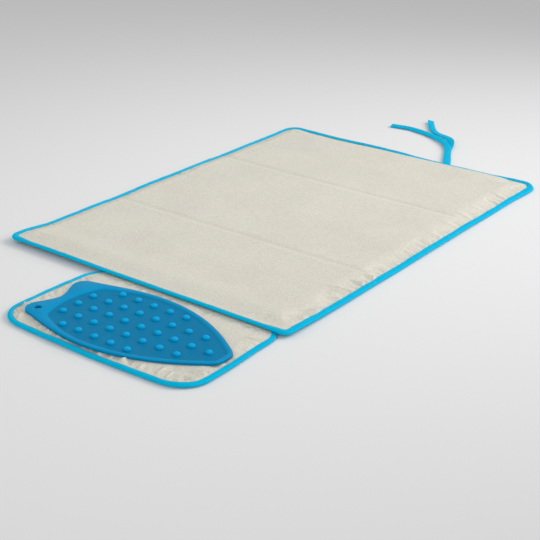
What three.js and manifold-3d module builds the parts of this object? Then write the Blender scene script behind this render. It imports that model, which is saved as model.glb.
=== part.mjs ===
// A portable ironing pad. The main panel is a mat of coated face cloth, felt padding and backing
// cloth, bound all round with folded tape, and it folds in three at two cross creases.
// A smaller padded flap is sewn under one end, with a loose silicone rest on it.
// A tie at the other end, one tape folded in half, holds the folded pad shut.
// Millimetres, +Z up. The origin is the centre of the main panel's flat underside.
// +X runs along the panel to the tie end, and the flap lies at the -X end.

import * as THREE from "three";
import { mergeVertices } from "three/addons/utils/BufferGeometryUtils.js";
import Module from "manifold-3d";

const wasm = await Module();
wasm.setup();
const { smoothstep, lerp, degToRad } = THREE.MathUtils;

// Main panel
const panelLength = 700;
const panelWidth = 500;
const endSection = 220; // from each end to its fold crease
const panelFelt = 6.2; // padding at the crown
const panelEdgeFelt = 1.0; // padding squeezed inside the binding
const creaseDip = 1.2; // how far a fold crease presses the face down
const creaseReach = 9; // half width of that valley
const cornerInside = 15; // corner radius at the inner edge of the binding, at the tie's end
const nearCornerInside = 7; // the same at the other end
const flapCornerInside = 5; // the same at the corner beside the flap

// Cloth, binding tape and the gap kept between pieces
const clothThickness = 0.6;
const tapeThickness = 0.8;
const bindingWidth = 9;
const bindingRound = 1.6; // rounding of the folded edge of the tape
const clearance = 0.3;

// How the padding swells beside the binding
const crownStart = 1; // from the inner edge of the binding to the start of the swell
const crownRun = 17; // from there to the full height
const backingRun = 14; // the same for the underside, which settles flat

// Flap
const flapReach = 183; // from the end of the panel to the outer edge of the flap
const flapWidth = 318;
const flapInset = 10; // from the panel's side to the side of the flap
const flapFelt = 4.0;
const flapEdgeFelt = 0.6;
const flapInsideRadius = 33; // outer corners, at the inner edge of the binding
const flangeLength = 22; // seam allowance sewn under the panel
const flangeThickness = 3.6; // the flap's layers sewn flat
const flangeInset = 10; // from the side of the flap to the side of the seam allowance
const flangeRun = 26; // over this length the flap thins down to its seam
const liftRun = 60; // over this length the panel settles beside the seam allowance

// Silicone rest, boat-shaped, with its blunt tip towards -Y
const restLength = 290;
const restHalfWidth = 79;
const restWidest = 166; // from the tip to the widest place
const restTipHalf = 15;
const restFromOuter = 87; // from the outer edge of the flap to the middle of the rest
const restFromSide = 8; // from the side of the flap to the tip
const earRadius = 17;
const earOffset = 41; // from the middle of the rest to the middle of each ear
const heelDip = 16; // hollow between the two ears
const rimHeight = 4;
const rimWidth = 4.5;
const restFloor = 2.2;
const basinHeel = 28; // from the ears' ends to the heel of the basin
const holeRadius = 4.8;
const bumpPitch = 27;
const firstBump = 26.5; // from the tip to the first row of bumps
const bumpRadius = 5.3;
const bumpTopRadius = 3.6;
const bumpHeight = 4;
const bumpMargin = 8; // from a bump to the side of the rest

// Tie
const tieWidth = 12;
const tieThickness = 2;
const tieFromSide = 170; // from the panel's side
const tieAngle = 28; // degrees from the length of the panel
const tieFold = 12; // length of the sewn fold
const tieLower = [
  [45, 24], [70, 36.5], [97, 46], [122, 62], [134, 80], [140, 97], [154, 114], [172, 128], [204, 149],
]; // past the panel's end and past the sewn place, along X and Y
const tieUpper = [
  [45, 24], [72, 38], [90, 51], [104, 66], [115, 84], [126, 106], [134, 132], [138, 157], [133, 193],
];
const tieUpperRide = [1, 1, 1, 1, 0.5, 0, 0, 0, 0]; // share of a tape's height it rides up

// Sizes that follow from the ones above
const layerStep = clothThickness + clearance;
const panelCrown = panelFelt + 2 * layerStep;
const panelEdge = panelEdgeFelt + 2 * (tapeThickness + clearance + layerStep);
const flapCrown = flapFelt + 2 * layerStep;
const flapEdge = flapEdgeFelt + 2 * (tapeThickness + clearance + layerStep);
const stackInset = tapeThickness + clearance;
const nearLift = flangeThickness + clearance;
const liftFlat = flangeLength + clearance;
const endX = panelLength / 2;
const sideY = panelWidth / 2;
const foldX = endX - endSection;
const hingeX = -endX;
const flapOuterX = -endX - flapReach;
const flapLowY = -sideY + flapInset;
const flapHighY = flapLowY + flapWidth;

const panelOutline = {
  xMin: -endX,
  xMax: endX,
  yMin: -sideY,
  yMax: sideY,
  radius: (x, y) => {
    const nearInside = y < 0 ? flapCornerInside : nearCornerInside;
    return bindingWidth + (x < 0 ? nearInside : cornerInside);
  },
};
const flapOutline = {
  xMin: flapOuterX,
  xMax: hingeX + flapReach,
  yMin: flapLowY,
  yMax: flapHighY,
  radius: () => bindingWidth + flapInsideRadius,
};

// Colours
const faceCloth = { color: "#d8d3c8", roughness: 0.55, metalness: 0.15 };
const felt = { color: "#e9e6de", roughness: 0.95, metalness: 0 };
const backingCloth = { color: "#8d9094", roughness: 0.9, metalness: 0 };
const bindingTape = { color: "#1fb4dd", roughness: 0.8, metalness: 0 };
const silicone = { color: "#1490bd", roughness: 0.45, metalness: 0 };

const pad = new THREE.Group();
pad.name = "ironing_pad";

function addPiece(name, geometry, look) {
  const mesh = new THREE.Mesh(geometry, new THREE.MeshStandardMaterial(look));
  mesh.name = name;
  pad.add(mesh);
}

function closedMesh(points, faces) {
  const geometry = new THREE.BufferGeometry();
  geometry.setAttribute("position", new THREE.Float32BufferAttribute(points.flat(), 3));
  geometry.setIndex(faces.flat());
  return geometry;
}

// Distance of a place from the edge of a rounded outline
function fromEdge(outline, x, y) {
  const dx = x - (outline.xMin + outline.xMax) / 2;
  const dy = y - (outline.yMin + outline.yMax) / 2;
  const radius = outline.radius(dx, dy);
  const overX = Math.abs(dx) - (outline.xMax - outline.xMin) / 2 + radius;
  const overY = Math.abs(dy) - (outline.yMax - outline.yMin) / 2 + radius;
  const outside = Math.hypot(Math.max(overX, 0), Math.max(overY, 0));
  return radius - outside - Math.min(Math.max(overX, overY), 0);
}

// How far the cut edge of the layers turns in at a corner
function cornerTurn(outline, x, side) {
  const end = x < (outline.xMin + outline.xMax) / 2 ? outline.xMin : outline.xMax;
  const outer = outline.radius(end - (outline.xMin + outline.xMax) / 2, side);
  const radius = outer - stackInset;
  const run = Math.max(outer - Math.abs(end - x), 0);
  return radius - Math.sqrt(Math.max(radius * radius - run * run, 0));
}

// Rows of a layer across the pad, closer together where the padding swells
function rowsAt(outline, x) {
  const low = outline.yMin + stackInset + cornerTurn(outline, x, -1);
  const high = outline.yMax - stackInset - cornerTurn(outline, x, 1);
  const swell = bindingWidth + crownStart - stackInset;
  const steps = [0, swell, swell + 0.35 * crownRun, swell + 0.65 * crownRun, swell + crownRun];
  const inner = [0.25, 0.5, 0.75].map((share) => lerp(low + steps[4], high - steps[4], share));
  const lowSide = steps.map((step) => low + step);
  const highSide = steps.map((step) => high - step).reverse();
  return [...lowSide, ...inner, ...highSide];
}

// Places along a rounded end: round its corner, over the swell, then on to the other end
function endStations(radius) {
  const turn = [0, 24, 46, 68, 90].map((angle) => {
    return radius - (radius - stackInset) * Math.cos(degToRad(angle));
  });
  const swollen = bindingWidth + crownStart + crownRun;
  return [...turn, ...[swollen].filter((place) => place > radius)];
}

// A closed layer between two height functions over a grid of stations and rows
function layer(outline, stations, floor, roof) {
  const points = [];
  const faces = [];
  const grid = stations.map((x) => rowsAt(outline, x).map((y) => [x, y]));
  const rows = grid[0].length;
  const count = stations.length * rows;
  for (const height of [floor, roof]) {
    for (const [x, y] of grid.flat()) {
      points.push([x, y, height(x, y)]);
    }
  }
  const at = (station, row) => station * rows + row;
  const quad = (a, b, c, d) => faces.push([a, b, c], [a, c, d]);
  for (let s = 0; s + 1 < stations.length; s += 1) {
    for (let r = 0; r + 1 < rows; r += 1) {
      const [a, b, c, d] = [at(s, r), at(s + 1, r), at(s + 1, r + 1), at(s, r + 1)];
      quad(a, d, c, b);
      quad(a + count, b + count, c + count, d + count);
    }
    quad(at(s, 0), at(s + 1, 0), at(s + 1, 0) + count, at(s, 0) + count);
    const last = rows - 1;
    quad(at(s + 1, last), at(s, last), at(s, last) + count, at(s + 1, last) + count);
  }
  for (let r = 0; r + 1 < rows; r += 1) {
    const end = stations.length - 1;
    quad(at(0, r + 1), at(0, r), at(0, r) + count, at(0, r + 1) + count);
    quad(at(end, r), at(end, r + 1), at(end, r + 1) + count, at(end, r) + count);
  }
  return closedMesh(points, faces);
}

// The folded tape's section: distance in from the edge, then height
function bindingSection(height) {
  const rounding = (z, from) => [0, 1, 2].map((step) => {
    const angle = degToRad(from + 45 * step);
    return [bindingRound - bindingRound * Math.sin(angle), z - bindingRound * Math.cos(angle)];
  });
  return [
    [bindingWidth, 0],
    ...rounding(bindingRound, 0),
    ...rounding(height - bindingRound, 90),
    [bindingWidth, height],
    [bindingWidth, height - tapeThickness],
    [tapeThickness, height - tapeThickness],
    [tapeThickness, tapeThickness],
    [bindingWidth, tapeThickness],
  ];
}

// Sweeps a section along a run of edge places, each with its outward direction
function sweepEdge(run, section, lift) {
  const points = [];
  const faces = [];
  const size = section.length;
  for (const { x, y, outX, outY } of run) {
    for (const [inward, z] of section) {
      points.push([x - outX * inward, y - outY * inward, z + lift(x)]);
    }
  }
  for (let s = 0; s + 1 < run.length; s += 1) {
    for (let p = 0; p < size; p += 1) {
      const a = s * size + p;
      const b = s * size + ((p + 1) % size);
      faces.push([a, a + size, b + size], [a, b + size, b]);
    }
  }
  const flat = section.map(([inward, z]) => new THREE.Vector2(inward, z));
  const start = (run.length - 1) * size;
  for (const [a, b, c] of THREE.ShapeUtils.triangulateShape(flat, [])) {
    faces.push([c, b, a], [start + a, start + b, start + c]);
  }
  return closedMesh(points, faces);
}

// Straight stretch of an edge, through the given places along it
function straight(places, outX, outY) {
  return places.map(([x, y]) => ({ x, y, outX, outY }));
}

// Rounded corner of an edge, from one angle to another
function corner(x, y, radius, from, to) {
  const steps = Math.round(Math.abs(to - from) / 10);
  return Array.from({ length: steps - 1 }, (_, step) => {
    const angle = degToRad(lerp(from, to, (step + 1) / steps));
    const outX = Math.cos(angle);
    const outY = Math.sin(angle);
    return { x: x + radius * outX, y: y + radius * outY, outX, outY };
  });
}

// Heights of the main panel: the underside rises over the binding and over the flap's seam
const nearEndLift = (x) => nearLift * (1 - smoothstep(x + endX, liftFlat, liftFlat + liftRun));
const noLift = () => 0;

function backingFloor(x, y) {
  const start = bindingWidth + crownStart;
  const settled = smoothstep(fromEdge(panelOutline, x, y), start, start + backingRun);
  return stackInset * (1 - settled) + nearEndLift(x);
}

function faceRoof(x, y) {
  const start = bindingWidth + crownStart;
  const swell = smoothstep(fromEdge(panelOutline, x, y), start, start + crownRun);
  const valley = 1 - smoothstep(Math.abs(Math.abs(x) - foldX), 0, creaseReach);
  const crown = panelCrown - creaseDip * valley;
  return lerp(panelEdge - stackInset, crown, swell) + nearEndLift(x);
}

function addLayers(name, stations) {
  const backingRoof = (x, y) => backingFloor(x, y) + clothThickness;
  const faceFloor = (x, y) => faceRoof(x, y) - clothThickness;
  const feltFloor = (x, y) => backingRoof(x, y) + clearance;
  const feltRoof = (x, y) => faceFloor(x, y) - clearance;
  addPiece(`${name}_cover`, layer(panelOutline, stations, faceFloor, faceRoof), faceCloth);
  addPiece(`${name}_padding`, layer(panelOutline, stations, feltFloor, feltRoof), felt);
  addPiece(`${name}_backing`, layer(panelOutline, stations, backingFloor, backingRoof), backingCloth);
}

// Middle section, between the two creases
const cut = clearance / 2;
const halfStations = [0, foldX - creaseReach, foldX - creaseReach / 2, foldX - cut];
const middleStations = [...halfStations.slice(1).map((x) => -x).reverse(), ...halfStations];
addLayers("middle", middleStations);
const section = bindingSection(panelEdge);
const middleEnds = [foldX - cut, -foldX + cut];
const rightRun = middleEnds.map((x) => [-x, -sideY]);
const leftRun = middleEnds.map((x) => [x, sideY]);
addPiece("middle_binding_right", sweepEdge(straight(rightRun, 0, -1), section, noLift), bindingTape);
addPiece("middle_binding_left", sweepEdge(straight(leftRun, 0, 1), section, noLift), bindingTape);

// End sections: each has one run of binding round its two corners
const cornerRadius = bindingWidth + cornerInside;
const nearCornerRadius = bindingWidth + nearCornerInside;
const flapCornerRadius = bindingWidth + flapCornerInside;
const creaseStations = [endSection - creaseReach, endSection - creaseReach / 2, endSection - cut];
const liftSteps = [0.25, 0.5, 0.75, 1].map((share) => liftFlat + share * liftRun);
const nearSteps = [...endStations(cornerRadius), ...liftSteps, ...creaseStations];
addLayers("near", nearSteps.map((step) => -endX + step));
const farSteps = [...endStations(cornerRadius), ...creaseStations];
addLayers("far", farSteps.map((step) => endX - step).reverse());

const liftStops = [liftFlat, cornerRadius, ...liftSteps].reverse();
const stopsPast = (radius, y) => liftStops.filter((x) => x > radius).map((x) => [x - endX, y]);
const nearRun = [
  ...straight([[-foldX - cut, sideY], ...stopsPast(nearCornerRadius, sideY)], 0, 1),
  ...straight([[-endX + nearCornerRadius, sideY]], 0, 1),
  ...corner(-endX + nearCornerRadius, sideY - nearCornerRadius, nearCornerRadius, 90, 180),
  ...straight([[-endX, sideY - nearCornerRadius], [-endX, -sideY + flapCornerRadius]], -1, 0),
  ...corner(-endX + flapCornerRadius, -sideY + flapCornerRadius, flapCornerRadius, 180, 270),
  ...straight([[-endX + flapCornerRadius, -sideY]], 0, -1),
  ...straight([...stopsPast(flapCornerRadius, -sideY).reverse(), [-foldX - cut, -sideY]], 0, -1),
];
addPiece("near_binding", sweepEdge(nearRun, section, nearEndLift), bindingTape);

const farRun = [
  ...straight([[foldX + cut, -sideY], [endX - cornerRadius, -sideY]], 0, -1),
  ...corner(endX - cornerRadius, -sideY + cornerRadius, cornerRadius, 270, 360),
  ...straight([[endX, -sideY + cornerRadius], [endX, sideY - cornerRadius]], 1, 0),
  ...corner(endX - cornerRadius, sideY - cornerRadius, cornerRadius, 0, 90),
  ...straight([[endX - cornerRadius, sideY], [foldX + cut, sideY]], 0, 1),
];
addPiece("far_binding", sweepEdge(farRun, section, noLift), bindingTape);

// Flap: three bound sides, and a seam side that thins down to meet the end of the panel
function flapBackingFloor(x, y) {
  const start = bindingWidth + crownStart;
  const settled = smoothstep(fromEdge(flapOutline, x, y), start, start + backingRun);
  return stackInset * (1 - settled);
}

function flapFaceRoof(x, y) {
  const start = bindingWidth + crownStart;
  const swell = smoothstep(fromEdge(flapOutline, x, y), start, start + crownRun);
  const seam = smoothstep(hingeX - x, 0, flangeRun);
  return lerp(flapEdge - stackInset, lerp(flangeThickness, flapCrown, seam), swell);
}

const flapTurn = endStations(bindingWidth + flapInsideRadius).map((step) => flapOuterX + step);
const flapThinning = [1, 0.75, 0.5, 0.25, 0].map((share) => hingeX - cut - share * flangeRun);
const flapBackingRoof = (x, y) => flapBackingFloor(x, y) + clothThickness;
const flapFaceFloor = (x, y) => flapFaceRoof(x, y) - clothThickness;
const flapFeltFloor = (x, y) => flapBackingRoof(x, y) + clearance;
const flapFeltRoof = (x, y) => flapFaceFloor(x, y) - clearance;
const flapStations = [...flapTurn, ...flapThinning];
addPiece("flap_cover", layer(flapOutline, flapStations, flapFaceFloor, flapFaceRoof), faceCloth);
addPiece("flap_padding", layer(flapOutline, flapStations, flapFeltFloor, flapFeltRoof), felt);
const flapBacking = layer(flapOutline, flapStations, flapBackingFloor, flapBackingRoof);
addPiece("flap_backing", flapBacking, backingCloth);

// The flap's binding stops short of the panel's own binding
const flapRadius = bindingWidth + flapInsideRadius;
const flapBindingEnd = -endX - 2 * clearance;
const flapRun = [
  ...straight([[flapBindingEnd, flapHighY], [flapOuterX + flapRadius, flapHighY]], 0, 1),
  ...corner(flapOuterX + flapRadius, flapHighY - flapRadius, flapRadius, 90, 180),
  ...straight([[flapOuterX, flapHighY - flapRadius], [flapOuterX, flapLowY + flapRadius]], -1, 0),
  ...corner(flapOuterX + flapRadius, flapLowY + flapRadius, flapRadius, 180, 270),
  ...straight([[flapOuterX + flapRadius, flapLowY], [flapBindingEnd, flapLowY]], 0, -1),
];
addPiece("flap_binding", sweepEdge(flapRun, bindingSection(flapEdge), noLift), bindingTape);

// Seam allowance of the flap, sewn flat under the end of the panel
const flange = new THREE.BoxGeometry(flangeLength, flapWidth - 2 * flangeInset, flangeThickness);
flange.translate(hingeX + cut + flangeLength / 2, (flapLowY + flapHighY) / 2, flangeThickness / 2);
addPiece("flap_seam_allowance", flange, backingCloth);

// Silicone rest: a rimmed basin with rows of bumps, two ears at the heel and a hang hole in one
function solidOf(geometry) {
  const bare = geometry.clone();
  bare.deleteAttribute("normal");
  bare.deleteAttribute("uv");
  const merged = mergeVertices(bare, 1e-4);
  const vertProperties = new Float32Array(merged.attributes.position.array);
  const triVerts = new Uint32Array(merged.index.array);
  return new wasm.Manifold(new wasm.Mesh({ numProp: 3, vertProperties, triVerts }));
}

function geometryOf(solid) {
  const mesh = solid.getMesh();
  const geometry = new THREE.BufferGeometry();
  geometry.setAttribute("position", new THREE.BufferAttribute(mesh.vertProperties, 3));
  geometry.setIndex(new THREE.BufferAttribute(mesh.triVerts, 1));
  return geometry;
}

const earY = restLength - earRadius;
const earLow = earOffset + earRadius;

function restSide(curve, inset) {
  const wide = restHalfWidth - inset;
  const belly = 0.43 * restWidest;
  const tip = restTipHalf - inset / 2;
  curve.moveTo(0, inset);
  curve.lineTo(tip, inset);
  curve.bezierCurveTo(tip + 31, inset + 40, wide, restWidest - belly, wide, restWidest);
}

function mirrored(half) {
  const points = half.getPoints(9);
  const left = points.slice(1, -1).reverse().map((point) => new THREE.Vector2(-point.x, point.y));
  return new THREE.Shape([...points, ...left]);
}

const outerHalf = new THREE.Path();
restSide(outerHalf, 0);
outerHalf.bezierCurveTo(restHalfWidth, restWidest + 39, earLow + 8, earY - 30, earLow, earY);
outerHalf.absarc(earOffset, earY, earRadius, 0, degToRad(120), false);
outerHalf.quadraticCurveTo(9, restLength - heelDip, 0, restLength - heelDip);

const basinHalf = new THREE.Path();
const basinTop = restLength - basinHeel;
restSide(basinHalf, rimWidth);
const basinSide = restHalfWidth - rimWidth;
basinHalf.bezierCurveTo(basinSide, restWidest + 36, earLow + 3, basinTop - 34, earLow - 6, basinTop - 12);
basinHalf.quadraticCurveTo(30, basinTop, 0, basinTop);

const raised = (shape, depth) => new THREE.ExtrudeGeometry(shape, { depth, bevelEnabled: false });
const basinCut = raised(mirrored(basinHalf), rimHeight).translate(0, 0, restFloor);
let rest = solidOf(raised(mirrored(outerHalf), rimHeight)).subtract(solidOf(basinCut));

// Half width of the rest at a distance from its tip
function restHalfAt(along) {
  const side = outerHalf.getPoints(30);
  const next = side.findIndex((point) => point.y > along);
  const [a, b] = [side[next - 1], side[next]];
  return lerp(a.x, b.x, (along - a.y) / (b.y - a.y));
}

const bumpTop = restFloor + bumpHeight;
const bumpProfile = [
  [0, restFloor - clearance], [bumpRadius, restFloor - clearance],
  [bumpRadius, bumpTop - bumpHeight / 2], [bumpTopRadius, bumpTop], [0, bumpTop],
].map(([radius, z]) => new THREE.Vector2(radius, z));
const bump = new THREE.LatheGeometry(bumpProfile, 8).rotateX(Math.PI / 2);
const lastBump = basinTop - bumpMargin - bumpRadius;
for (let along = firstBump; along <= lastBump; along += bumpPitch) {
  const room = restHalfAt(along) - bumpRadius - bumpMargin;
  const columns = Math.floor(room / bumpPitch);
  for (let column = -columns; column <= columns; column += 1) {
    rest = rest.add(solidOf(bump.clone().translate(column * bumpPitch, along, 0)));
  }
}
const hole = new THREE.CylinderGeometry(holeRadius, holeRadius, 4 * rimHeight, 16);
hole.rotateX(Math.PI / 2).translate(-earOffset, earY, 0);
rest = rest.subtract(solidOf(hole));
const restZ = flapCrown + clearance;
const restBody = geometryOf(rest).translate(flapOuterX + restFromOuter, flapLowY + restFromSide, restZ);
addPiece("silicone_rest", restBody, silicone);

// Tie: the sewn fold at the panel's end, then two tails, one lying over the other at first
const tieTurn = degToRad(tieAngle);
const tieY = -sideY + tieFromSide;
const tieStep = tieThickness + clearance;
const tieStart = clearance + (tieWidth / 2) * Math.sin(tieTurn);
const foldShape = new THREE.Shape([
  [0, 0], [tieFold, 0], [tieFold, tieThickness], [tieThickness, tieThickness],
  [tieThickness, tieStep], [tieFold, tieStep], [tieFold, tieStep + tieThickness],
  [0, tieStep + tieThickness],
].map(([x, z]) => new THREE.Vector2(x, z)));
const fold = raised(foldShape, tieWidth).translate(0, 0, -tieWidth / 2).rotateX(Math.PI / 2);
fold.rotateZ(tieTurn).translate(endX + tieStart, tieY, clearance);
addPiece("tie_fold", fold, bindingTape);

const bevel = tieThickness / 4;
const tapeSection = new THREE.Shape([
  [-1, -1, 0, 1], [-1, -1, 1, 0], [1, -1, -1, 0], [1, -1, 0, 1],
  [1, 1, 0, -1], [1, 1, -1, 0], [-1, 1, 1, 0], [-1, 1, 0, -1],
].map(([side, edge, cutX, cutY]) => new THREE.Vector2(
  (side * tieThickness) / 2 + cutX * bevel,
  (edge * tieWidth) / 2 + cutY * bevel,
)));

function addTail(name, places, rides) {
  const straightEnd = [0, 0.5, 1].map((share) => tieFold + clearance + share * tieWidth);
  const leaving = straightEnd.map((run) => [
    tieStart + run * Math.cos(tieTurn),
    run * Math.sin(tieTurn),
    rides[0],
  ]);
  const laid = places.map(([x, y], index) => [x, y, rides[index]]);
  const points = [...leaving, ...laid].map(([x, y, ride]) => {
    return new THREE.Vector3(endX + x, tieY + y, clearance + tieThickness / 2 + tieStep * ride);
  });
  const extrudePath = new THREE.CatmullRomCurve3(points, false, "centripetal");
  const tail = new THREE.ExtrudeGeometry(tapeSection, { steps: 30, bevelEnabled: false, extrudePath });
  addPiece(name, tail, bindingTape);
}

addTail("tie_tail_lower", tieLower, tieLower.map(() => 0));
addTail("tie_tail_upper", tieUpper, tieUpperRide);

export default pad;
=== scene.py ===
import math

import bpy
import numpy as np
from mathutils import Euler, Matrix, Vector, noise
from mathutils.geometry import interpolate_bezier


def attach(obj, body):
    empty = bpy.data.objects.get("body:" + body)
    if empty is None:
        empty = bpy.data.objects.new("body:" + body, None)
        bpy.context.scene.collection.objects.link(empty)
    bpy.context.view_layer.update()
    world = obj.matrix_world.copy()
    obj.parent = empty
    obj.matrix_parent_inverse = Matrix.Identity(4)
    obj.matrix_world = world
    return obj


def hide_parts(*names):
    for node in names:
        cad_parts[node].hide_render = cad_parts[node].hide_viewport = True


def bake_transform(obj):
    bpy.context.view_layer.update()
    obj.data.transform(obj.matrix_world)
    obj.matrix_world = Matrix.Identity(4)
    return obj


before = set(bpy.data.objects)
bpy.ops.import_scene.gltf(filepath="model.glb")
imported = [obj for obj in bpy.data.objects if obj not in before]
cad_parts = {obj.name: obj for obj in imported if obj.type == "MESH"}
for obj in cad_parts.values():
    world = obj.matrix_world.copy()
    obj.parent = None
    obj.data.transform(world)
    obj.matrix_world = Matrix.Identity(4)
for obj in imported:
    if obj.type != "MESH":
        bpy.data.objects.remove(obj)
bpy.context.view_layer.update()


# Studio: a pale matt floor, a large soft lamp beside the pad, a weaker one before it and an even white
# surround. The camera stands low beyond the corner where the flap meets the panel.
scene = bpy.context.scene
scene.view_settings.view_transform = "Standard"
bpy.ops.object.select_all(action="DESELECT")
look_down, look_round, look_tilted = 24.066, -53.595, 1.008
bpy.ops.object.camera_add(location=(-1.4316, -1.0197, 0.6876))
camera = bpy.context.object
camera.name = "camera"
camera.data.lens = 81.26
level = Euler((math.radians(90 - look_down), 0, math.radians(look_round))).to_matrix()
camera.rotation_euler = (level @ Matrix.Rotation(math.radians(look_tilted), 3, "Z")).to_euler()
scene.camera = camera


class Shade:
    """One output in a tree of shader nodes. Arithmetic on shades and numbers adds Math nodes."""

    def __init__(self, tree, socket=None):
        self.tree = tree
        self.socket = socket

    def node(self, kind, settings=(), sockets=(), output=0):
        made = self.tree.nodes.new("ShaderNode" + kind)
        for name, value in dict(settings).items():
            setattr(made, name, value)
        for name, value in dict(sockets).items():
            if isinstance(value, Shade):
                self.tree.links.new(value.socket, made.inputs[name])
            else:
                made.inputs[name].default_value = value
        return Shade(self.tree, made.outputs[output] if made.outputs else None)

    def maths(self, operation, first, second=0.0):
        return self.node("Math", {"operation": operation}, {0: first, 1: second})

    def __add__(self, other):
        return self.maths("ADD", self, other)

    def __sub__(self, other):
        return self.maths("SUBTRACT", self, other)

    def __mul__(self, other):
        return self.maths("MULTIPLY", self, other)

    def __radd__(self, other):
        return self.maths("ADD", other, self)

    def __rmul__(self, other):
        return self.maths("MULTIPLY", other, self)

    def sine(self):
        return self.maths("SINE", self)

    def most(self, other):
        return self.maths("MAXIMUM", self, other)

    def between(self, low, high):
        return self.node(
            "MapRange",
            {"interpolation_type": "SMOOTHSTEP"},
            {0: self, 1: low, 2: high, 3: 0.0, 4: 1.0},
        )

    def mixed(self, dark, light):
        return self.node("Mix", {"data_type": "RGBA"}, {0: self, 6: dark, 7: light}, 2)

    def way(self, number):
        """One of the three numbers of a place."""
        return self.node("SeparateXYZ", {}, {0: self}, number)

    def noise(self, scale, detail, **others):
        return self.node("TexNoise", {}, {"Vector": self, "Scale": scale, "Detail": detail, **others})

    def bump(self, strength, distance):
        return self.node("Bump", {}, {"Strength": strength, "Distance": distance, "Height": self})


def new_material(name):
    material = bpy.data.materials.new(name)
    material.use_nodes = True
    material.node_tree.nodes.clear()
    return material, Shade(material.node_tree)


def surface(start, sockets):
    start.node("OutputMaterial", {}, {"Surface": start.node("BsdfPrincipled", {}, sockets)})


surround = bpy.data.worlds.new("surround")
surround.use_nodes = True
surround.node_tree.nodes.clear()
start = Shade(surround.node_tree)
seen = start.node("LightPath", output="Is Camera Ray")
mirrored = start.node("LightPath", output="Is Glossy Ray")
through = start.node("LightPath", output="Is Transmission Ray")
lighting = 0.56
strength = lighting + (1 - lighting) * seen.most(mirrored).most(through)
sky = start.node("Background", {}, {"Color": (1, 1, 1, 1), "Strength": strength})
start.node("OutputWorld", {}, {"Surface": sky})
scene.world = surround

for name, place, energy in (
    ("side_lamp", (1.3, -1.3, 1.1), 6.3),
    ("front_lamp", (-1.8, -0.6, 1.0), 1.8),
):
    bpy.ops.object.light_add(type="AREA", location=place)
    lamp = bpy.context.object
    lamp.name = name
    lamp.data.size = 1.5
    lamp.data.spread = math.radians(64)
    lamp.data.energy = energy
    lamp.rotation_euler = Vector(place).to_track_quat("Z", "Y").to_euler()

bpy.ops.mesh.primitive_plane_add(size=12, location=(0.4, 0.3, -0.0004))
floor = bpy.context.object
floor.name = "floor"
floor_paint, start = new_material("floor_paint")
surface(start, {"Base Color": (0.83, 0.83, 0.83, 1), "Roughness": 0.9, "Specular IOR Level": 0.0})
floor.data.materials.append(floor_paint)


# Main panel, underside: one sheet of plain grey lining, sewn into the binding all round.
# It lies flat, and rises into the binding at its edge and over the flap's sewn-on end.
panel = (-0.350, 0.350, -0.250, 0.250)
folds = (-0.130, 0.130)
lining_inset = 0.0025
lining_step = 0.007
fine_step = 0.0013
before_bend, after_bend = 0.016, 0.014


def smooth(value, low, high):
    share = min(max((value - low) / (high - low), 0), 1)
    return share * share * (3 - 2 * share)


def panel_radius(x, y):
    if x > 0:
        return 0.024
    return 0.016 if y > 0 else 0.014


def from_edge(outline, radius, x, y):
    """Distance of a place from a rounded outline, measured inwards."""
    left, right, low, high = outline
    over_x = abs(x - (left + right) / 2) - (right - left) / 2
    over_y = abs(y - (low + high) / 2) - (high - low) / 2
    turn = radius(x - (left + right) / 2, y - (low + high) / 2)
    outside = math.hypot(max(over_x + turn, 0), max(over_y + turn, 0))
    return turn - outside - min(max(over_x, over_y) + turn, 0)


def panel_rise(x, y):
    """How far the panel stands off the floor: over the flap's end, and where its edge waves."""
    end = 1 - smooth(x, -0.3277, -0.2677)
    wave = 0.0005 * (1 + math.sin(19 * x + 27 * y + 0.7)) + 0.0003 * (1 + math.sin(47 * x - 35 * y))
    free = (1 - smooth(from_edge(panel, panel_radius, x, y), 0, 0.09)) * (1 - end)
    return 0.0039 * end + 0.0011 * end * smooth(y, 0.04, 0.15) + wave * free


def overhang(x, y):
    """How far the underside of the panel's end stands off the flap at its very edge."""
    return 0.0016 * (1 - smooth(x, -0.343, -0.330)) * smooth(0.243 - abs(y), 0, 0.03)


def lining_height(x, y):
    inside = from_edge(panel, panel_radius, x, y)
    return panel_rise(x, y) + overhang(x, y) + 0.0011 * (1 - smooth(inside, 0.013, 0.027))


def stations(low, high, step, bends=()):
    """Places a step apart along the pad, and closer together where it bends."""
    places = [low]
    while places[-1] < high - 0.0001:
        bending = any(-before_bend < places[-1] - bend < after_bend for bend in bends)
        places.append(min(places[-1] + (fine_step if bending else step), high))
    return places


def choose(piece):
    """Makes one piece the only selected and the active one."""
    bpy.ops.object.select_all(action="DESELECT")
    piece.select_set(True)
    bpy.context.view_layer.objects.active = piece


def edit_all(operation, **settings):
    """Runs one mesh operation on the whole of the active piece."""
    bpy.ops.object.mode_set(mode="EDIT")
    bpy.ops.mesh.select_all(action="SELECT")
    operation(**settings)
    bpy.ops.object.mode_set(mode="OBJECT")


def rounded_sheet(name, outline, radius, inset, columns, rows, height):
    """A sheet cut to a rounded outline, less an inset all round, and laid at a height."""
    left, right, low, high = outline
    middle_x, middle_y = (left + right) / 2, (low + high) / 2
    half_width = (high - low) / 2 - inset
    last_column, last_row = len(columns) - 1, len(rows) - 1
    bpy.ops.object.select_all(action="DESELECT")
    bpy.ops.mesh.primitive_grid_add(x_subdivisions=last_column, y_subdivisions=last_row, size=2)
    made = bpy.context.object
    made.name = made.data.name = name
    for vertex in made.data.vertices:
        x = columns[round((vertex.co.x + 1) / 2 * last_column)]
        share = (rows[round((vertex.co.y + 1) / 2 * last_row)] - middle_y) / half_width
        turn = radius(x - middle_x, share) - inset
        run = max(turn - (right - left) / 2 + inset + abs(x - middle_x), 0)
        pulled_in = turn - math.sqrt(max(turn * turn - run * run, 0))
        y = middle_y + share * (half_width - pulled_in)
        vertex.co = (x, y, height(x, y))
    return made


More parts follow.
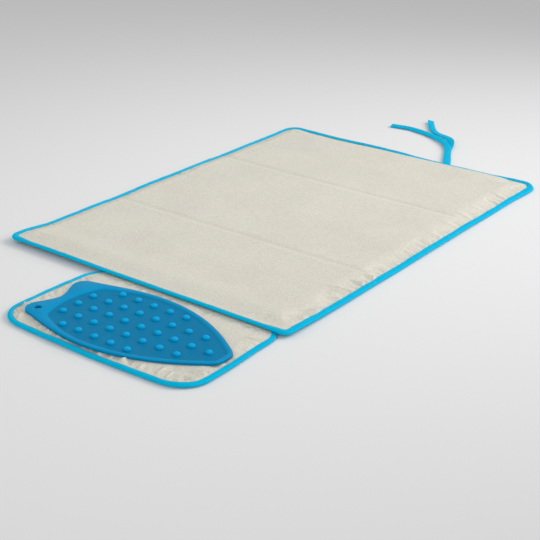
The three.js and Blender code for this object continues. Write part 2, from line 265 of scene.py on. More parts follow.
def cut_half(whole, name, end, closed=False):
    """A copy of a layer that keeps one half of the panel's length."""
    choose(whole)
    bpy.ops.object.duplicate()
    half = bpy.context.object
    half.name = half.data.name = name
    edit_all(bpy.ops.mesh.bisect, plane_co=(0, 0, 0), plane_no=(1, 0, 0), use_fill=closed,
             clear_inner=end > 0, clear_outer=end < 0)
    return half


def panel_halves(whole, layer, material, near_nodes, far_nodes, closed=False):
    """Cuts a layer of the panel across its middle, so that each half crosses one fold."""
    halves = []
    for end, name, nodes in ((-1, "near_half_", near_nodes), (1, "far_half_", far_nodes)):
        half = cut_half(whole, name + layer, end, closed)
        bpy.ops.object.shade_smooth_by_angle(angle=math.radians(50))
        half.data.materials.clear()
        half.data.materials.append(material)
        if end < 0:
            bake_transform(half)
        else:
            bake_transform(half)
        if nodes:
            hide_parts(*nodes)
        halves.append(half)
    bpy.data.objects.remove(whole)
    return halves


lining, start = new_material("lining")
place = start.node("TexCoord", output="Object")
lining_threads = 5200
weave = (place.way(0) * lining_threads).sine() * (place.way(1) * lining_threads).sine()
slubs = place.noise(420.0, 3.0)
cloudy = place.noise(14.0, 3.0)
surface(start, {
    "Base Color": (0.15 * weave + 0.6 * slubs + 0.4 * cloudy).mixed(
        (0.19, 0.20, 0.215, 1), (0.34, 0.35, 0.37, 1)),
    "Roughness": 0.88,
    "Normal": (weave + slubs).bump(0.4, 0.0004),
})

whole = rounded_sheet(
    "lining_sheet", panel, panel_radius, lining_inset,
    stations(-0.3475, 0.3475, lining_step, folds),
    stations(-0.2475, 0.2475, lining_step),
    lining_height,
)
edit_all(bpy.ops.mesh.flip_normals)
for half in panel_halves(whole, "lining", lining,
                         ["near_backing", "middle_backing"], ["far_backing"]):
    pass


# Main panel, padding: needled felt about six millimetres thick, squeezed thin inside the binding.
# It is cut to the size of the panel and caught in the binding's seam with the two cloths.
crown = 0.0080
bound_top = 0.0039
cloth_inset = 0.004
felt_step = 0.012


def fullness(x, y):
    """Where the padding pushes up behind the binding of the far end."""
    return smooth(x, 0.30, 0.335) * smooth(y, -0.215, -0.17) * (1 - smooth(y, -0.08, 0.06))


def face_height(x, y):
    """Height of the ironing face, with its fold creases and one long crease."""
    inside = from_edge(panel, panel_radius, x, y)
    fold_dip = 0.0012 * (1 - smooth(abs(abs(x) - 0.130), 0, 0.009))
    long_dip = 0.0005 * (1 - smooth(abs(y - 0.080 - 0.01 * math.sin(9 * x)), 0, 0.012))
    full = fullness(x, y)
    slack = smooth(min(0.35 - x, 0.25 - y) - min(0.35 + x, 0.25 + y), -0.02, 0.02)
    swell = smooth(inside, 0.0088 - 0.0015 * full, 0.026 - 0.010 * full + 0.020 * slack)
    soft = 0.0004 * noise.noise(Vector((9 * x, 9 * y, 0)))
    soft += 0.0002 * noise.noise(Vector((27 * x, 27 * y, 4)))
    height = crown - bound_top - fold_dip - long_dip + soft
    return panel_rise(x, y) + bound_top + height * swell


def felt_slab(name, outline, radius, columns, rows, underside, top):
    """Felt filling the room between two heights, modelled as a sheet raised to a slab."""
    well_above = 0.1
    slab = rounded_sheet(name, outline, radius, cloth_inset, columns, rows, underside)
    edit_all(bpy.ops.mesh.extrude_region_move, TRANSFORM_OT_translate={"value": (0, 0, well_above)})
    edit_all(bpy.ops.mesh.normals_make_consistent, inside=False)
    for vertex in slab.data.vertices:
        if vertex.co.z > well_above / 2:
            vertex.co.z = top(vertex.co.x, vertex.co.y)
    return slab


felt, start = new_material("felt")
place = start.node("TexCoord", output="Object")
fibres = place.noise(1100.0, 5.0, Distortion=1.5)
surface(start, {
    "Base Color": fibres.mixed((0.66, 0.64, 0.58, 1), (0.86, 0.84, 0.79, 1)),
    "Roughness": 0.95,
    "Normal": fibres.bump(0.5, 0.0006),
})
whole = felt_slab(
    "felt_slab", panel, panel_radius,
    stations(-0.346, 0.346, felt_step, folds),
    stations(-0.246, 0.246, felt_step),
    lambda x, y: lining_height(x, y) + 0.0009,
    lambda x, y: max(face_height(x, y) - 0.0016, lining_height(x, y) + 0.0011),
)
for half in panel_halves(whole, "felt", felt,
                         ["near_padding", "middle_padding"], ["far_padding"], closed=True):
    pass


# Main panel, ironing face: cotton with a silvery heat-proof coating, woven fine and a little shiny.
# The binding is sewn on tighter than the cloth, which gathers in short puckers beside it.
def panel_creases(x, y, inside):
    """Share of spare cloth at a place, and where along the binding a crease through it starts."""
    from_side = 0.250 - abs(y)
    lean = 0.1 - 1.1 * (1 - smooth(x, -0.30, -0.13)) if y < 0 else 0
    origin = x - lean * from_side
    beside = (1 - smooth(from_side, 0.05, 0.08)) * smooth(x, -0.340, -0.318)
    patchy = smooth(noise.noise(Vector((15 * origin, 0, 3))), -0.35, 0.3)
    share = 0.25 + 0.55 * patchy + 1.5 * smooth(-x, 0.08, 0.18) if y < 0 else 0.4 * patchy
    return share * beside, origin


def gathered(sheet, outline, radius, creases, depth, most_spare, reach, sink, frames):
    """Lets a sheet's spare cloth settle into puckers by a cloth simulation, and keeps the result.

    Depth is the height of the first creases, most_spare the greatest share of spare cloth, reach how
    far the puckers run in from the edge and sink how deep the felt lets the cloth down.
    """
    lowest = [vertex.co.z - sink for vertex in sheet.data.vertices]
    held = sheet.vertex_groups.new(name="held")
    snug = sheet.vertex_groups.new(name="snug")
    for vertex in sheet.data.vertices:
        x, y = vertex.co.xy
        inside = from_edge(outline, radius, x, y)
        share, origin = creases(x, y, inside)
        length = reach * (0.8 + noise.noise(Vector((45 * origin, 0, 6))))
        spare = share * (1 - smooth(inside, 0.3 * length, length))
        pinned = 0.02 + 0.6 * smooth(inside, 0.7 * reach, 1.2 * reach) if inside > 0.008 else 1
        held.add([vertex.index], pinned, "REPLACE")
        snug.add([vertex.index], max(1 - spare, 0), "REPLACE")
        pucker = noise.noise(Vector((115 * origin, 6 * inside, 0)))
        pucker += 0.5 * noise.noise(Vector((240 * origin, 0, 2)))
        vertex.co.z += depth * spare * pucker * smooth(inside, 0.008, 0.013)
    cloth = sheet.modifiers.new("Cloth", "CLOTH")
    cloth.settings.quality = 4
    cloth.settings.mass = 0.02
    cloth.settings.tension_stiffness = cloth.settings.compression_stiffness = 30
    cloth.settings.shear_stiffness = 10
    cloth.settings.bending_stiffness = 0.005
    cloth.settings.air_damping = 2
    cloth.settings.vertex_group_mass = "held"
    cloth.settings.vertex_group_shrink = "snug"
    cloth.settings.shrink_min = -most_spare
    cloth.settings.shrink_max = 0
    cloth.settings.effector_weights.gravity = 0
    cloth.collision_settings.use_collision = False
    for step in range(1, frames + 1):
        scene.frame_set(step)
    choose(sheet)
    bpy.ops.object.modifier_apply(modifier="Cloth")
    scene.frame_set(1)
    sheet.vertex_groups.clear()
    for vertex, stop in zip(sheet.data.vertices, lowest):
        vertex.co.z = max(vertex.co.z, stop)


face_cloth, start = new_material("face_cloth")
place = start.node("TexCoord", output="Object")
face_threads = 6900
weave = (place.way(0) * face_threads).sine() * (place.way(1) * face_threads).sine()
specks = place.noise(420.0, 4.0, Roughness=0.7)
cloudy = place.noise(11.0, 4.0, Roughness=0.6)
shading = 0.1 * weave + 0.55 * specks.between(0.3, 0.7) + 0.4 * cloudy + 0.02
surface(start, {
    "Base Color": shading.mixed((0.572, 0.545, 0.468, 1), (0.840, 0.812, 0.718, 1)),
    "Roughness": 0.42 + 0.28 * specks,
    "Metallic": 0.05,
    "Specular IOR Level": 0.2,
    "Normal": (weave + 2 * specks).bump(0.3, 0.0003),
})
face_step_along = 0.0019
face_step_across = 0.006
fine_rows = (-0.238, -0.209, -0.180, 0.212, 0.240)
whole = rounded_sheet(
    "face_sheet", panel, panel_radius, cloth_inset,
    stations(-0.346, 0.346, face_step_along, folds),
    stations(-0.246, 0.246, face_step_across, fine_rows),
    face_height,
)
gathered(whole, panel, panel_radius, panel_creases,
         depth=0.0032, most_spare=0.025, reach=0.042, sink=0.0014, frames=12)
for half, felt_name in zip(
    panel_halves(whole, "face", face_cloth, ["near_cover", "middle_cover"], ["far_cover"]),
    ("near_half_felt", "far_half_felt"),
):
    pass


# Main panel, binding: a cyan woven tape folded over the cut edges and sewn through with one row of
# stitches near its inner edge. It follows the panel's rounded corners in one length.
tape_cyan = (0.0, 0.570, 0.860, 1)
tape_deep = (0.0, 0.430, 0.700, 1)
tape_step = 0.0045
section_width = 9
folded_tape = [
    (9.0, 0.0), (6.0, 0.0), (2.4, 0.1), (0.8, 0.7), (0.0, 1.9), (0.0, 3.2), (0.7, 4.4), (2.2, 5.1),
    (3.8, 5.3), (6.4, 4.9), (8.6, 4.5), (9.0, 4.3), (8.8, 4.05), (6.0, 4.2), (1.8, 4.1), (0.9, 3.2),
    (0.9, 1.9), (1.8, 0.9), (6.0, 0.8), (9.0, 0.8),
]


def corner_turns(outline, radius):
    """The radius and the centre of each rounded corner, from the right end's low corner round."""
    left, right, low, high = outline
    turns = []
    for x, y, in_x, in_y in (
        (right, low, -1, 1), (right, high, -1, -1), (left, high, 1, -1), (left, low, 1, 1),
    ):
        turn = radius(-in_x, -in_y)
        turns.append((turn, Vector((x + in_x * turn, y + in_y * turn, 0))))
    return turns


def bound_edge(name, outline, radius, width, bends):
    """The folded tape's section, carried along each side and spun round each corner."""
    corners = corner_turns(outline, radius)
    here = corners[-1][1]
    bpy.ops.object.select_all(action="DESELECT")
    bpy.ops.mesh.primitive_circle_add(vertices=len(folded_tape), radius=0.01)
    edge = bpy.context.object
    edge.name = edge.data.name = name
    for vertex, (inward, z) in zip(edge.data.vertices, folded_tape):
        vertex.co = (here.x, outline[2] + width * inward / section_width, z / 1000)
    bpy.ops.object.mode_set(mode="EDIT")
    bpy.ops.mesh.select_all(action="SELECT")
    heading = Vector((1, 0, 0))
    for _, centre in corners:
        crossed = [bend * heading.x for bend in bends if abs(heading.x) > 0.5]
        stops = stations(here.dot(heading), centre.dot(heading), tape_step, crossed)
        for first, second in zip(stops, stops[1:]):
            step = heading * (second - first)
            bpy.ops.mesh.extrude_region_move(TRANSFORM_OT_translate={"value": step})
        bpy.ops.mesh.spin(steps=9, angle=-math.pi / 2, center=centre, axis=(0, 0, 1))
        heading = Vector((-heading.y, heading.x, 0))
        here = centre
    bpy.ops.mesh.select_all(action="SELECT")
    bpy.ops.mesh.remove_doubles(threshold=0.00005)
    bpy.ops.mesh.normals_make_consistent(inside=False)
    bpy.ops.object.mode_set(mode="OBJECT")
    return edge


def binding_unevenness(x, y):
    """The small rise and fall of a tape sewn on by eye, and how it turns up or down at the far end."""
    curl = 0.0010 * smooth(y, -0.06, 0.08) + 0.0010 * (1 - smooth(y, -0.205, -0.165))
    curl -= 0.0008 * fullness(x, y)
    wander = 0.0005 * noise.noise(Vector((38 * x, 38 * y, 7)))
    wander += 0.0003 * noise.noise(Vector((90 * x, 90 * y, 1)))
    return wander + curl * smooth(x, 0.336, 0.350)


def edge_wander(x, y, inside):
    """How far the tape's turned-over edge strays from a straight line along the two long sides."""
    stray = 0.0011 * noise.noise(Vector((24 * x, 3 * y, 5)))
    stray += 0.0006 * noise.noise(Vector((75 * x, 3 * y, 8)))
    return math.copysign(stray, y) * smooth(inside, 0.006, 0.009) * smooth(0.330 - abs(x), 0, 0.03)


binding_tape, start = new_material("binding_tape")
place = start.node("TexCoord", output="Object")
x_way, y_way, z_way = place.way(0), place.way(1), place.way(2)
tape_threads = 5600
twill = ((x_way + y_way + z_way) * tape_threads).sine() * ((x_way - y_way + z_way) * tape_threads).sine()
fuzz = place.noise(800.0, 3.0)
uneven = place.noise(55.0, 2.0)
surface(start, {
    "Base Color": (0.2 * twill + 0.45 * fuzz + 0.4 * uneven + 0.1).mixed(tape_deep, tape_cyan),
    "Roughness": 0.75,
    "Specular IOR Level": 0.05,
    "Normal": (twill + fuzz).bump(0.4, 0.0003),
})


def narrowed(piece):
    """At the flap's end less of the tape is turned over the face."""
    for vertex in piece.data.vertices:
        x, y = vertex.co.xy
        if x < -0.338:
            vertex.co.x = -0.350 + (x + 0.350) * (1 - 0.28 * smooth(0.238 - abs(y), 0, 0.03))


whole = bound_edge("panel_tape", panel, panel_radius, width=0.0095, bends=folds)
narrowed(whole)
for vertex in whole.data.vertices:
    x, y, z = vertex.co
    vertex.co.z += panel_rise(x, y) + binding_unevenness(x, y) * smooth(z, 0.001, 0.004)
    vertex.co.z += overhang(x, y) * (1 - smooth(z, 0, 0.0052))
    if z > 0.0035:
        vertex.co.y += edge_wander(x, y, from_edge(panel, panel_radius, x, y))
    by_corner = smooth(x, 0.26, 0.32) * (1 - smooth(x, 0.330, 0.346))
    vertex.co.y -= 0.0025 * by_corner * smooth(-y, 0.235, 0.250)
panel_halves(
    whole, "binding", binding_tape,
    ["near_binding", "middle_binding_right"], ["far_binding", "middle_binding_left"], closed=True,
)


# Main panel, stitching: lockstitch in thread of the tape's colour, about four millimetres to a stitch,
# right through the pad, so that it shows on both faces.
stitch_spacing = 0.0042
thread_radius = 0.0004
stitch_top = 0.0050
stitch_bottom = 0.00005


def stitch_row(name, outline, radius, inset, heights):
    """One small stitch, copied round an outline at each of the given heights."""
    bpy.ops.object.select_all(action="DESELECT")
    bpy.ops.mesh.primitive_uv_sphere_add(segments=6, ring_count=4, radius=thread_radius)
    one = bpy.context.object
    shape = np.array([vertex.co for vertex in one.data.vertices]) * (4, 1, 0.8)
    faces = [list(polygon.vertices) for polygon in one.data.polygons]
    walk = []
    for swing, (turn, centre) in zip((-90, 0, 90, 180), corner_turns(outline, radius)):
        for degrees in range(swing, swing + 91, 6):
            out = Vector((math.cos(math.radians(degrees)), math.sin(math.radians(degrees))))
            walk.append(centre.xy + out * (turn - inset))
    walk.append(walk[0])
    points, joined, spare = [], [], 0.0
    for first, second in zip(walk, walk[1:]):
        heading = (second - first).normalized()
        turned = shape @ np.array([[heading.x, heading.y, 0], [-heading.y, heading.x, 0], [0, 0, 1]])
        run = spare
        while run < (second - first).length:
            x, y = first + heading * run
            for height in heights:
                joined.extend([index + len(points) for index in face] for face in faces)
                points.extend((turned + (x, y, height(x, y))).tolist())
            run += stitch_spacing
        spare = run - (second - first).length
    bpy.data.objects.remove(one)
    mesh = bpy.data.meshes.new(name)
    mesh.from_pydata(points, [], joined)
    row = bpy.data.objects.new(name, mesh)
    scene.collection.objects.link(row)
    return row


thread, start = new_material("thread")
place = start.node("TexCoord", output="Object")
twist = place.noise(1500.0, 2.0)
surface(start, {
    "Base Color": twist.mixed((0.010, 0.36, 0.56, 1), (0.06, 0.56, 0.76, 1)),
    "Roughness": 0.5,
    "Normal": twist.bump(0.3, 0.0002),
})
whole = stitch_row("panel_thread", panel, panel_radius, inset=0.0060, heights=(
    lambda x, y: stitch_top + panel_rise(x, y) + binding_unevenness(x, y),
    lambda x, y: stitch_bottom + panel_rise(x, y) + overhang(x, y),
))
narrowed(whole)
panel_halves(whole, "stitching", thread, [], [], closed=True)


# Flap, three layers: the same lining, a thinner felt and the same silvery cloth. The flap's inner end
# lies under the panel's end and is sewn to it, and the cloth gathers all round beside the binding.
flap = (-0.533, -0.328, -0.240, 0.078)
flap_bend = (-0.356,)
flap_lining_step = 0.006
flap_felt_step = 0.010
flap_face_step = 0.0016
rest_axis = -0.446
rest_tip = -0.232
pressed_top = 0.0059


def flap_radius(x, y):
    return 0.042


def flap_rise(x, y):
    """Where the flap's free edge stands a little off the floor."""
    wave = 0.0004 * (1 + math.sin(31 * x + 38 * y)) + 0.0003 * (1 + math.sin(70 * y - 20 * x))
    free = 1 - smooth(from_edge(flap, flap_radius, x, y), 0, 0.05)
    return wave * free * smooth(-x, 0.352, 0.380)


def flap_lining_height(x, y):
    inside = from_edge(flap, flap_radius, x, y)
    return flap_rise(x, y) + 0.0009 * (1 - smooth(inside, 0.013, 0.027))


def flap_face_height(x, y):
    """Height of the flap's face, which is drawn down in small pleats along the seam."""
    inside = from_edge(flap, flap_radius, x, y)
    seam = smooth(-x, 0.350, 0.353) * (1 - smooth(-x, 0.355, 0.374))
    pleats = noise.noise(Vector((115 * y, 30 * x, 9))) + 0.5 * noise.noise(Vector((260 * y, 30 * x, 2)))
    thinned = 0.0036 + 0.0022 * smooth(-x, 0.356, 0.382) + seam * (0.0018 * pleats - 0.0005)
    edge = 0.0029 + 0.0006 * smooth(-x, 0.350, 0.376)
    return flap_rise(x, y) + edge + (thinned - edge) * smooth(inside, 0.008, 0.026)


def flap_creases(x, y, inside):
    """Share of spare cloth at a place of the flap, and where along the binding its crease starts."""
    at_side = min(y + 0.240, 0.078 - y) < x + 0.533
    origin = x + 0.5 * inside if at_side else y
    patchy = smooth(noise.noise(Vector((21 * origin, 0, 5))), -0.35, 0.25)
    return (0.35 + 0.65 * patchy) * smooth(-x, 0.355, 0.375), origin


def under_rest(x, y):
    """Whether the loose rest lies on a place of the flap and presses the cloth flat there."""
    along = (y - rest_tip) / 0.166
    if not 0 < along < 1.747:
        return False
    tapered = 0.064 * (1 - along) ** 1.9 if along < 1 else 0.050 * (along - 1) ** 2
    return abs(x - rest_axis) < 0.079 - tapered


def fold_flap(piece, material, nodes):
    """Bows a layer of the flap a little and gives it its finish."""
    choose(piece)
    bpy.ops.object.shade_smooth_by_angle(angle=math.radians(50))
    for vertex in piece.data.vertices:
        x, y = vertex.co.xy
        vertex.co.x += 0.004 * min(abs(y + 0.081) / 0.125, 1) ** 2 * smooth(-x, 0.44, 0.53)
        vertex.co.y -= 0.003 * smooth(-x, 0.38, 0.46) * smooth(-y, 0.15, 0.235)
    piece.data.materials.append(material)
    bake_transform(piece)
    if nodes:
        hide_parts(*nodes)


flap_lining = rounded_sheet(
    "flap_lining", flap, flap_radius, lining_inset,
    stations(-0.5305, -0.3305, flap_lining_step, flap_bend),
    stations(-0.2375, 0.0755, flap_lining_step),
    flap_lining_height,
)
edit_all(bpy.ops.mesh.flip_normals)
fold_flap(flap_lining, lining, ["flap_backing", "flap_seam_allowance"])

flap_felt = felt_slab(
    "flap_felt", flap, flap_radius,
    stations(-0.529, -0.332, flap_felt_step, flap_bend),
    stations(-0.236, 0.074, flap_felt_step),
    lambda x, y: flap_lining_height(x, y) + 0.0006,
    lambda x, y: flap_face_height(x, y) - 0.0011,
)
fold_flap(flap_felt, felt, ["flap_padding"])

flap_face = rounded_sheet(
    "flap_face", flap, flap_radius, cloth_inset,
    stations(-0.529, -0.332, flap_face_step, flap_bend),
    stations(-0.236, 0.074, flap_face_step),
    flap_face_height,
)
gathered(flap_face, flap, flap_radius, flap_creases,
         depth=0.0095, most_spare=0.03, reach=0.034, sink=0.0010, frames=9)
for vertex in flap_face.data.vertices:
    if under_rest(vertex.co.x, vertex.co.y):
        vertex.co.z = min(vertex.co.z, pressed_top)
fold_flap(flap_face, face_cloth, ["flap_cover"])


# Flap, binding and stitching: the same tape and thread as round the panel, with wider corners.
# The tape is pressed thinner where the panel's end lies on it.
def flap_tape_height(x, y, z):
    return z * (0.88 - 0.18 * smooth(x, -0.374, -0.352)) + flap_rise(x, y)


def flap_unevenness(x, y):
    """The flap's tape rises and falls a little more than the panel's, but not under the panel."""
    return 1.3 * binding_unevenness(x, y) * smooth(-x, 0.350, 0.370)


flap_binding = bound_edge("flap_tape", flap, flap_radius, width=0.0075, bends=flap_bend)
for vertex in flap_binding.data.vertices:
    x, y, z = vertex.co
    vertex.co.z = flap_tape_height(x, y, z) + flap_unevenness(x, y) * smooth(z, 0.001, 0.004)
fold_flap(flap_binding, binding_tape, ["flap_binding"])

flap_stitching = stitch_row("flap_stitching", flap, flap_radius, inset=0.0051, heights=(
    lambda x, y: flap_tape_height(x, y, stitch_top) + flap_unevenness(x, y),
    lambda x, y: flap_tape_height(x, y, stitch_bottom),
))
fold_flap(flap_stitching, thread, [])


# Silicone rest: one soft boat-shaped moulding with a raised lip, rows of domed bumps in its basin, two
# ears at its heel and a hang hole in one of them. It lies loose on the flap.
rest_base = 0.0061
basin_floor = 0.0022
hang_hole_radius = 0.0048
bump_radius = 0.0053
bump_height = 0.0040
bump_spacing = 27


def whole_outline(half):
    """A closed outline from its right half, both in millimetres from the tip, with softened corners."""
    loop = half + [Vector((-place.x, place.y)) for place in half[-2:0:-1]]
    for _ in range(3):
        loop = [(2 * here + loop[index - 1] + loop[(index + 1) % len(loop)]) / 4
                for index, here in enumerate(loop)]
    return loop


def side_of_rest(inset, end_control, end):
    """From the middle of the tip, along the belly of the rest, to where its ear or heel begins."""
    corner = Vector((15 - inset / 2, inset))
    widest = Vector((79 - inset, 166))
    tip = [corner * Vector((share, 1)) for share in (0, 0.3, 0.6, 0.85)]
    belly = interpolate_bezier(corner, corner + Vector((31, 40)), widest - Vector((0, 71.4)), widest, 25)
    heel = interpolate_bezier(widest, widest + Vector((0, 38)), end_control, end, 15)
    return tip + [Vector(place[:2]) for place in belly + heel[1:]]


def turned_in(first, control, last, count):
    """A curve with one control point, as a list of places after its first."""
    return [Vector(place[:2]) for place in interpolate_bezier(
        first, first + (control - first) * 2 / 3, last + (control - last) * 2 / 3, last, count)][1:]


ear_centre = Vector((41, 273))
ear_radius = 17
ear = []
for degrees in range(10, 130, 10):
    out = Vector((math.cos(math.radians(degrees)), math.sin(math.radians(degrees))))
    ear.append(ear_centre + ear_radius * out)
outer = side_of_rest(0, Vector((66, 243)), Vector((58, 273))) + ear
outer = outer + turned_in(ear[-1], Vector((9, 274)), Vector((0, 274)), 9)
inner = side_of_rest(4.5, Vector((61, 228)), Vector((52, 250)))
inner = inner + turned_in(inner[-1], Vector((30, 262)), Vector((0, 262)), 21)
outer, inner = whole_outline(outer), whole_outline(inner)


def drawn_in(loop, inset):
    """An outline moved inwards by a distance."""
    moved = []
    for index, here in enumerate(loop):
        ahead = loop[(index + 1) % len(loop)] - loop[index - 1]
        moved.append(here + Vector((-ahead.y, ahead.x)).normalized() * inset)
    return moved


rings = [
    (drawn_in(outer, 0.7), 0.0), (drawn_in(outer, 0.2), 0.2), (outer, 0.8), (outer, 3.0),
    (drawn_in(outer, 0.3), 3.6), (drawn_in(outer, 1.0), 4.0), (drawn_in(inner, -0.6), 4.0),
    (drawn_in(inner, 0.5), 3.75), (drawn_in(inner, 2.5), 2.75), (drawn_in(inner, 4.5), 2.3),
    (drawn_in(inner, 7.0), 2.2),
]
bpy.ops.object.select_all(action="DESELECT")
bpy.ops.mesh.primitive_circle_add(vertices=len(outer), radius=0.1)
rest = bpy.context.object
rest.name = rest.data.name = "silicone_moulding"
number = {}
for vertex in rest.data.vertices:
    number[round(vertex.co.x, 5), round(vertex.co.y, 5)] = vertex.index
bpy.ops.object.mode_set(mode="EDIT")
bpy.ops.mesh.select_all(action="SELECT")
bpy.ops.mesh.edge_face_add()
for _ in rings[1:]:
    bpy.ops.mesh.extrude_edges_move(TRANSFORM_OT_translate={"value": (0, 0, 1)})
bpy.ops.mesh.edge_face_add()
bpy.ops.object.mode_set(mode="OBJECT")
for vertex in rest.data.vertices:
    loop, height = rings[round(vertex.co.z)]
    place = loop[number[round(vertex.co.x, 5), round(vertex.co.y, 5)]]
    vertex.co = (rest_axis + place.x / 1000, rest_tip + place.y / 1000, rest_base + height / 1000)
edit_all(bpy.ops.mesh.normals_make_consistent, inside=False)

bpy.ops.object.select_all(action="DESELECT")
hole_centre = (rest_axis - ear_centre.x / 1000, rest_tip + ear_centre.y / 1000, rest_base)
bpy.ops.mesh.primitive_cylinder_add(
    vertices=28, radius=hang_hole_radius, depth=0.02, location=hole_centre)
punch = bpy.context.object
choose(rest)
hole = rest.modifiers.new("hang_hole", "BOOLEAN")
hole.operation = "DIFFERENCE"
hole.object = punch
bpy.ops.object.modifier_apply(modifier="hang_hole")
bpy.data.objects.remove(punch)

bpy.ops.object.select_all(action="DESELECT")
bpy.ops.mesh.primitive_uv_sphere_add(segments=18, ring_count=12, radius=bump_radius)
dome = bpy.context.object
for vertex in dome.data.vertices:
    vertex.co.z *= bump_height / bump_radius if vertex.co.z > 0 else 0.05
bumps = []
for row, reach in enumerate((0, 1, 1, 2, 2, 2, 2, 2, 1)):
    y = rest_tip + (26.5 + bump_spacing * row) / 1000
    for column in range(-reach, reach + 1):
        bump = dome.copy()
        bump.data = dome.data.copy()
        scene.collection.objects.link(bump)
        bump.location = (rest_axis + bump_spacing * column / 1000, y, rest_base + basin_floor)
        bumps.append(bump)
bpy.data.objects.remove(dome)
bpy.ops.object.select_all(action="DESELECT")
for piece in bumps + [rest]:
    piece.select_set(True)
bpy.context.view_layer.objects.active = rest
bpy.ops.object.join()
bpy.ops.object.shade_smooth_by_angle(angle=math.radians(40))

silicone, start = new_material("silicone")
place = start.node("TexCoord", output="Object")
z_way = place.way(2)
# Painted light and shade: by height alone the colour grows lighter up the basin's wall, on the lip and
# most on the bump tops, as painted top light, while the basin floor keeps the darker blue as painted
# shade.
painted_light_by_height = 0.35 * z_way.between(0.0084, 0.0096) + 0.4 * z_way.between(0.0102, 0.0113)
grain = place.noise(1400.0, 3.0)
dusty = place.noise(45.0, 4.0, Roughness=0.65)
surface(start, {
    # The darker blue is the painted shade of the basin floor, the lighter blue the painted light on the
    # lip and bump tops.
    "Base Color": (painted_light_by_height + 0.2 * dusty + 0.05 * grain).mixed(
        (0.0, 0.165, 0.335, 1), (0.0, 0.430, 0.830, 1)),
    "Roughness": 0.46 + 0.12 * dusty,
    "Specular IOR Level": 0.05,
    "Normal": grain.bump(0.12, 0.0002),
})
rest.data.materials.clear()
rest.data.materials.append(silicone)
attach(rest, "iron_rest")
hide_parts("silicone_rest")


# Tie: one length of the pad's own tape, folded in half and sewn to the end of the panel, so that
# two tails lie beside it. The tape is stitched double, so it is stiff enough to arch a little.
tie_width = 0.012
tie_thickness = 0.002
tie_angle = math.radians(28)
tie_root = Vector((0.350, -0.080, 0))
tie_heading = Vector((math.cos(tie_angle), math.sin(tie_angle), 0))
tie_clearance = 0.0003
tie_start = tie_clearance + tie_width / 2 * math.sin(tie_angle)


def tape(name, places, tilts):
    """A flat tape through the given places, each with its tilt from lying flat, in degrees.

    Its first places are a little wider, where it is pressed into the seam.
    """
    curve = bpy.data.curves.new(name, "CURVE")
    curve.dimensions = "3D"
    curve.twist_mode = "Z_UP"
    curve.resolution_u = 8
    spline = curve.splines.new("BEZIER")
    spline.bezier_points.add(len(places) - 1)
    for number, (point, place, tilt) in enumerate(zip(spline.bezier_points, places, tilts)):
        point.co = place
        point.radius = 1.10 if number < 3 else 1.0
        point.handle_left_type = point.handle_right_type = "AUTO"
        point.tilt = math.radians(90 - tilt)
    made = bpy.data.objects.new(name, curve)
    scene.collection.objects.link(made)
    bpy.context.view_layer.update()
    line = [vertex.co.copy() for vertex in made.to_mesh().vertices]
    made.to_mesh_clear()
    curve.extrude = (tie_width - tie_thickness) / 2
    curve.bevel_depth = tie_thickness / 2
    curve.bevel_resolution = 2
    curve.use_fill_caps = True
    choose(made)
    bpy.ops.object.convert(target="MESH")
    bpy.ops.object.shade_smooth_by_angle(angle=math.radians(40))
    return bpy.context.object, line


tie_tape, start = new_material("tie_tape")
place = start.node("TexCoord", output="Object")
along, across = place.way(0), place.way(1)
tie_threads = 7000
ribs = ((along + across) * tie_threads).sine() * ((along - across) * tie_threads).sine()
fuzz = place.noise(900.0, 3.0)
surface(start, {
    "Base Color": (0.35 + 0.25 * ribs + 0.5 * fuzz).mixed(tape_deep, tape_cyan),
    "Roughness": 0.75,
    "Specular IOR Level": 0.05,
    "Normal": (ribs + fuzz).bump(0.35, 0.0003),
})

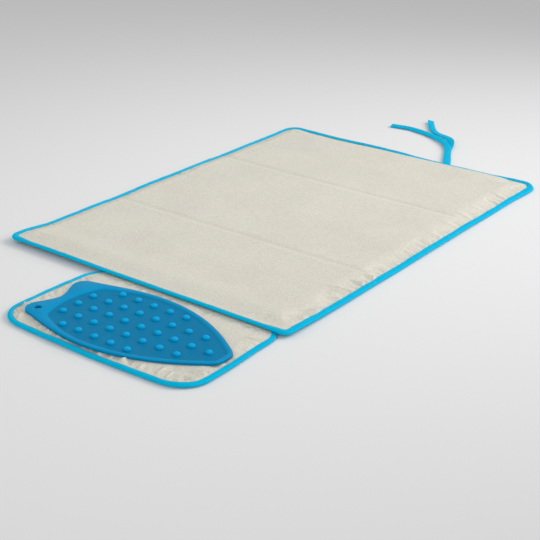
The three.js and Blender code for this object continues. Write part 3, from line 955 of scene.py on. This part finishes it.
leaving = [tie_root + tie_heading * (tie_start + run) for run in (0.0123, 0.0183, 0.0243)]
lower_route = [
    (45, 24), (70, 36.5), (97, 46), (122, 62), (134, 80), (140, 97), (154, 114), (172, 128), (204, 149),
]
lower_tilt = [0, 0, 0, 0, 4, 20, 12, 0, -2, -4, -10, -12]
lower_lift = [0, 0, 0, 0, 0, 0.3, 1.6, 2.2, 2.0, 1.2, 0.6, 0.4]
upper_route = [
    (45, 24), (72, 38), (90, 51), (104, 66), (115, 84), (126, 106), (134, 132), (138, 157), (133, 193),
]
upper_tilt = [0, 0, 0, 0, 2, 5, 8, 9, 9, 9, 8, 8]
upper_lift = [2.3, 2.3, 2.3, 2.3, 2.3, 2.4, 2.3, 1.6, 1.0, 0.8, 0.8, 0.6]
for name, route, tilts, lifts in (
    ("tie_tail_lower", lower_route, lower_tilt, lower_lift),
    ("tie_tail_upper", upper_route, upper_tilt, upper_lift),
):
    laid = [tie_root + Vector((x, y, 0)) / 1000 for x, y in route]
    places = []
    for place, tilt, lift in zip(leaving + laid, tilts, lifts):
        lean = math.radians(abs(tilt))
        height = tie_clearance + tie_width / 2 * math.sin(lean) + tie_thickness / 2 * math.cos(lean)
        places.append(place + Vector((0, 0, height + lift / 1000)))
    tail, line = tape(name + "_tape", places, tilts)
    tail.data.materials.append(tie_tape)
    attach(tail, "far_section")
    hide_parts(name)

fold_length = 0.0125
turn_back = [
    (12.5, 0.3), (6.0, 0.3), (1.6, 0.4), (0.4, 1.0), (0.0, 2.4), (0.4, 3.9), (1.6, 4.5), (6.0, 4.6),
    (12.5, 4.6), (12.5, 2.6), (6.0, 2.6), (1.8, 2.55), (1.8, 2.35), (6.0, 2.3), (12.5, 2.3),
]
bpy.ops.object.select_all(action="DESELECT")
bpy.ops.mesh.primitive_circle_add(vertices=len(turn_back), radius=0.01)
fold = bpy.context.object
fold.name = fold.data.name = "tie_fold_tape"
for vertex, (run, height) in zip(fold.data.vertices, turn_back):
    vertex.co = (run / 1000, -tie_width / 2, height / 1000)
bpy.ops.object.mode_set(mode="EDIT")
bpy.ops.mesh.select_all(action="SELECT")
bpy.ops.mesh.edge_face_add()
bpy.ops.mesh.extrude_region_move(TRANSFORM_OT_translate={"value": (0, tie_width, 0)})
bpy.ops.mesh.select_all(action="SELECT")
bpy.ops.mesh.normals_make_consistent(inside=False)
bpy.ops.object.mode_set(mode="OBJECT")
tie_side = Vector((-tie_heading.y, tie_heading.x, 0))
for vertex in fold.data.vertices:
    run, across, height = vertex.co
    square = smooth(run, 0, fold_length)
    begin = (1 - square) * (across * math.tan(tie_angle) - 0.0006) + square * tie_start
    vertex.co = tie_root + tie_heading * (begin + run) + tie_side * across + Vector((0, 0, height))
bevel = fold.modifiers.new("worn_edges", "BEVEL")
bevel.width = 0.0003
bevel.segments = 2
bevel.limit_method = "ANGLE"
bpy.ops.object.modifier_apply(modifier="worn_edges")
bpy.ops.object.shade_smooth_by_angle(angle=math.radians(40))
fold.data.materials.append(tie_tape)
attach(fold, "far_section")
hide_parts("tie_fold")
